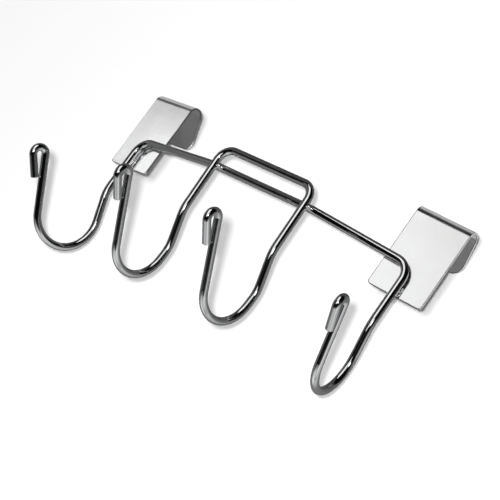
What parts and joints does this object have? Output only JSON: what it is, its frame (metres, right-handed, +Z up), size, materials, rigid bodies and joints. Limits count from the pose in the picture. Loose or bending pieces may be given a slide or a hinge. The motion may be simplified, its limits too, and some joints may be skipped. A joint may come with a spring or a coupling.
{
  "type": "wall hook rack",
  "caption": "Over-the-edge wall hook rack of bent and welded chrome wire, with open curled hooks hanging from sheet-metal clips that fold over an edge.",
  "frame": {"origin": "hanging point: on the mirror plane, in line with the middles of the backs of the two clip plates, level with the inside top of the clip folds, where the rack rests on its edge", "axes": "+X along the crossbar, the viewer's right when facing the hooks; -Y forward, the way the hooks reach; +Z up, as it hangs in use"},
  "size_m": [0.2704, 0.1027, 0.1279],
  "materials": {
    "wire": "bright chrome plate on round steel wire",
    "clip": "bright chrome plate on steel sheet, slightly wavy",
    "weld": "plated weld metal, a little rough"
  },
  "bodies": {
    "root": {"outer_wire": "wire", "inner_wire": "wire", "left_clip": "clip", "right_clip": "clip", "left_crossing_weld": "weld", "right_crossing_weld": "weld", "left_clip_weld": "weld", "right_clip_weld": "weld"}
  },
  "joints": []
}
